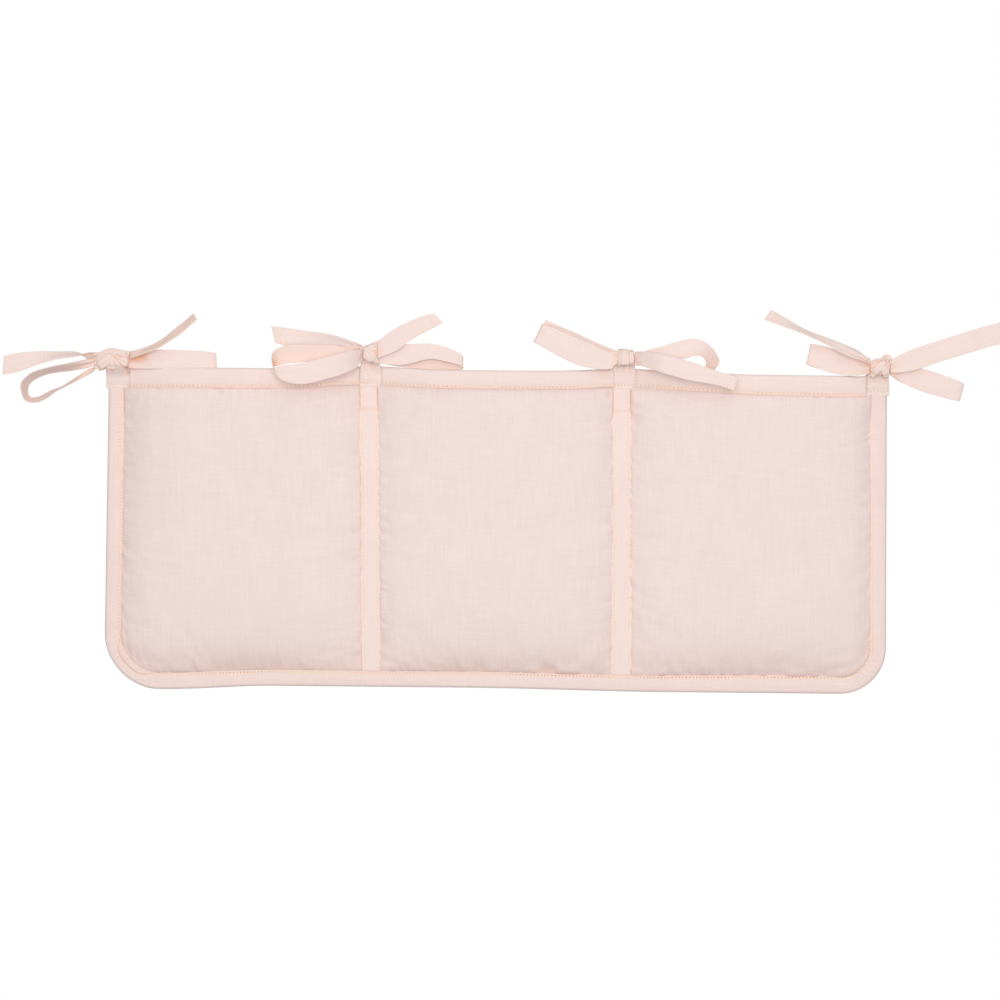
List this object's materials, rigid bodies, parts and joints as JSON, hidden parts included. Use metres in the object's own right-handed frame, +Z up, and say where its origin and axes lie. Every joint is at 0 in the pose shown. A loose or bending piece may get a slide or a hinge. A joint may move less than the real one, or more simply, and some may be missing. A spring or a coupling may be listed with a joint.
{
  "type": "bedside caddy",
  "caption": "Padded cotton bed caddy: a quilted rear panel with open-topped pockets side by side, hung from a rail by ribbon bows on its top edge.",
  "frame": {"origin": "middle of the top edge, on the back of the rear panel", "axes": "+X along the rail, to the right seen from the front; +Y into the rail; +Z up"},
  "size_m": [0.7658, 0.0419, 0.2974],
  "materials": {
    "cotton": "matt woven cotton",
    "cotton_lining": "matt woven cotton",
    "wadding": "soft fleecy wadding",
    "sewing_thread": "fine sewing thread",
    "cotton_ribbon": "matt woven cotton tape"
  },
  "bodies": {
    "caddy": {"rear_cover": "cotton", "rear_batting": "wadding", "rear_lining": "cotton_lining", "rear_top_binding": "cotton", "front_panel_margin": "cotton", "edge_binding": "cotton", "edge_stitching": "sewing_thread", "left_divider_tape": "cotton", "left_divider_stitching_left": "sewing_thread", "left_divider_stitching_right": "sewing_thread", "right_divider_tape": "cotton", "right_divider_stitching_left": "sewing_thread", "right_divider_stitching_right": "sewing_thread", "tie_tab_1": "cotton_ribbon", "tie_tab_stitching_1": "sewing_thread", "knot_1": "cotton_ribbon", "tie_tab_2": "cotton_ribbon", "tie_tab_stitching_2": "sewing_thread", "knot_2": "cotton_ribbon", "tie_tab_3": "cotton_ribbon", "tie_tab_stitching_3": "sewing_thread", "knot_3": "cotton_ribbon", "tie_tab_4": "cotton_ribbon", "tie_tab_stitching_4": "sewing_thread", "knot_4": "cotton_ribbon"},
    "left_pocket": {"left_pocket_cover": "cotton", "left_pocket_batting": "wadding", "left_pocket_lining": "cotton_lining", "left_pocket_mouth_binding": "cotton", "left_pocket_mouth_stitching": "sewing_thread"},
    "middle_pocket": {"middle_pocket_cover": "cotton", "middle_pocket_batting": "wadding", "middle_pocket_lining": "cotton_lining", "middle_pocket_mouth_binding": "cotton", "middle_pocket_mouth_stitching": "sewing_thread"},
    "right_pocket": {"right_pocket_cover": "cotton", "right_pocket_batting": "wadding", "right_pocket_lining": "cotton_lining", "right_pocket_mouth_binding": "cotton", "right_pocket_mouth_stitching": "sewing_thread"},
    "bow_1_left_tail": {"bow_1_left_tail": "cotton_ribbon"},
    "bow_1_left_loop": {"bow_1_left_loop": "cotton_ribbon"},
    "bow_1_right_tail": {"bow_1_right_tail": "cotton_ribbon"},
    "bow_1_right_loop": {"bow_1_right_loop": "cotton_ribbon"},
    "bow_2_left_tail": {"bow_2_left_tail": "cotton_ribbon"},
    "bow_2_left_loop": {"bow_2_left_loop": "cotton_ribbon"},
    "bow_2_right_tail": {"bow_2_right_tail": "cotton_ribbon"},
    "bow_2_right_loop": {"bow_2_right_loop": "cotton_ribbon"},
    "bow_3_left_tail": {"bow_3_left_tail": "cotton_ribbon"},
    "bow_3_left_loop": {"bow_3_left_loop": "cotton_ribbon"},
    "bow_3_right_tail": {"bow_3_right_tail": "cotton_ribbon"},
    "bow_3_right_loop": {"bow_3_right_loop": "cotton_ribbon"},
    "bow_4_left_tail": {"bow_4_left_tail": "cotton_ribbon"},
    "bow_4_left_loop": {"bow_4_left_loop": "cotton_ribbon"},
    "bow_4_right_tail": {"bow_4_right_tail": "cotton_ribbon"},
    "bow_4_right_loop": {"bow_4_right_loop": "cotton_ribbon"}
  },
  "joints": [
    {"name": "left_pocket_mouth", "type": "hinge", "parent": "caddy", "child": "left_pocket", "pos_m": [-0.196, -0.0075, -0.2332], "axis": [1, 0, 0], "range_deg": [0, 4], "stiffness_Nm_per_rad": 0.6, "springref_deg": -2.86},
    {"name": "middle_pocket_mouth", "type": "hinge", "parent": "caddy", "child": "middle_pocket", "pos_m": [0, -0.0075, -0.2332], "axis": [1, 0, 0], "range_deg": [0, 4], "stiffness_Nm_per_rad": 0.6, "springref_deg": -2.86},
    {"name": "right_pocket_mouth", "type": "hinge", "parent": "caddy", "child": "right_pocket", "pos_m": [0.196, -0.0075, -0.2332], "axis": [1, 0, 0], "range_deg": [0, 4], "stiffness_Nm_per_rad": 0.6, "springref_deg": -2.86},
    {"name": "bow_1_left_tail_swing", "type": "hinge", "parent": "caddy", "child": "bow_1_left_tail", "pos_m": [-0.3084, -0.0155, 0.0049], "axis": [0, 0, -1], "range_deg": [0, 60]},
    {"name": "bow_1_left_loop_swing", "type": "hinge", "parent": "caddy", "child": "bow_1_left_loop", "pos_m": [-0.3084, -0.0233, 0.0049], "axis": [0, 0, 1], "range_deg": [0, 60]},
    {"name": "bow_1_right_tail_swing", "type": "hinge", "parent": "caddy", "child": "bow_1_right_tail", "pos_m": [-0.2832, -0.0233, 0.0049], "axis": [0, 0, -1], "range_deg": [0, 60]},
    {"name": "bow_1_right_loop_swing", "type": "hinge", "parent": "caddy", "child": "bow_1_right_loop", "pos_m": [-0.2832, -0.0155, 0.0049], "axis": [0, 0, 1], "range_deg": [0, 60]},
    {"name": "bow_2_left_tail_swing", "type": "hinge", "parent": "caddy", "child": "bow_2_left_tail", "pos_m": [-0.10405, -0.0155, 0.0125], "axis": [0, 0, -1], "range_deg": [0, 60]},
    {"name": "bow_2_left_loop_swing", "type": "hinge", "parent": "caddy", "child": "bow_2_left_loop", "pos_m": [-0.10405, -0.0233, 0.0125], "axis": [0, 0, 1], "range_deg": [0, 60]},
    {"name": "bow_2_right_tail_swing", "type": "hinge", "parent": "caddy", "child": "bow_2_right_tail", "pos_m": [-0.09195, -0.0233, 0.0125], "axis": [0, 0, -1], "range_deg": [0, 60]},
    {"name": "bow_2_right_loop_swing", "type": "hinge", "parent": "caddy", "child": "bow_2_right_loop", "pos_m": [-0.09195, -0.0155, 0.0125], "axis": [0, 0, 1], "range_deg": [0, 60]},
    {"name": "bow_3_left_tail_swing", "type": "hinge", "parent": "caddy", "child": "bow_3_left_tail", "pos_m": [0.09135, -0.0155, 0.0104], "axis": [0, 0, -1], "range_deg": [0, 60]},
    {"name": "bow_3_left_loop_swing", "type": "hinge", "parent": "caddy", "child": "bow_3_left_loop", "pos_m": [0.09135, -0.0233, 0.0104], "axis": [0, 0, 1], "range_deg": [0, 60]},
    {"name": "bow_3_right_tail_swing", "type": "hinge", "parent": "caddy", "child": "bow_3_right_tail", "pos_m": [0.10465, -0.0233, 0.0104], "axis": [0, 0, -1], "range_deg": [0, 60]},
    {"name": "bow_3_right_loop_swing", "type": "hinge", "parent": "caddy", "child": "bow_3_right_loop", "pos_m": [0.10465, -0.0155, 0.0104], "axis": [0, 0, 1], "range_deg": [0, 60]},
    {"name": "bow_4_left_tail_swing", "type": "hinge", "parent": "caddy", "child": "bow_4_left_tail", "pos_m": [0.2843, -0.0233, 0.0059], "axis": [0, 0, 1], "range_deg": [0, 60]},
    {"name": "bow_4_left_loop_swing", "type": "hinge", "parent": "caddy", "child": "bow_4_left_loop", "pos_m": [0.2843, -0.0155, 0.0059], "axis": [0, 0, -1], "range_deg": [0, 60]},
    {"name": "bow_4_right_tail_swing", "type": "hinge", "parent": "caddy", "child": "bow_4_right_tail", "pos_m": [0.3003, -0.0233, 0.0059], "axis": [0, 0, -1], "range_deg": [0, 60]},
    {"name": "bow_4_right_loop_swing", "type": "hinge", "parent": "caddy", "child": "bow_4_right_loop", "pos_m": [0.3003, -0.0155, 0.0059], "axis": [0, 0, 1], "range_deg": [0, 60]}
  ]
}
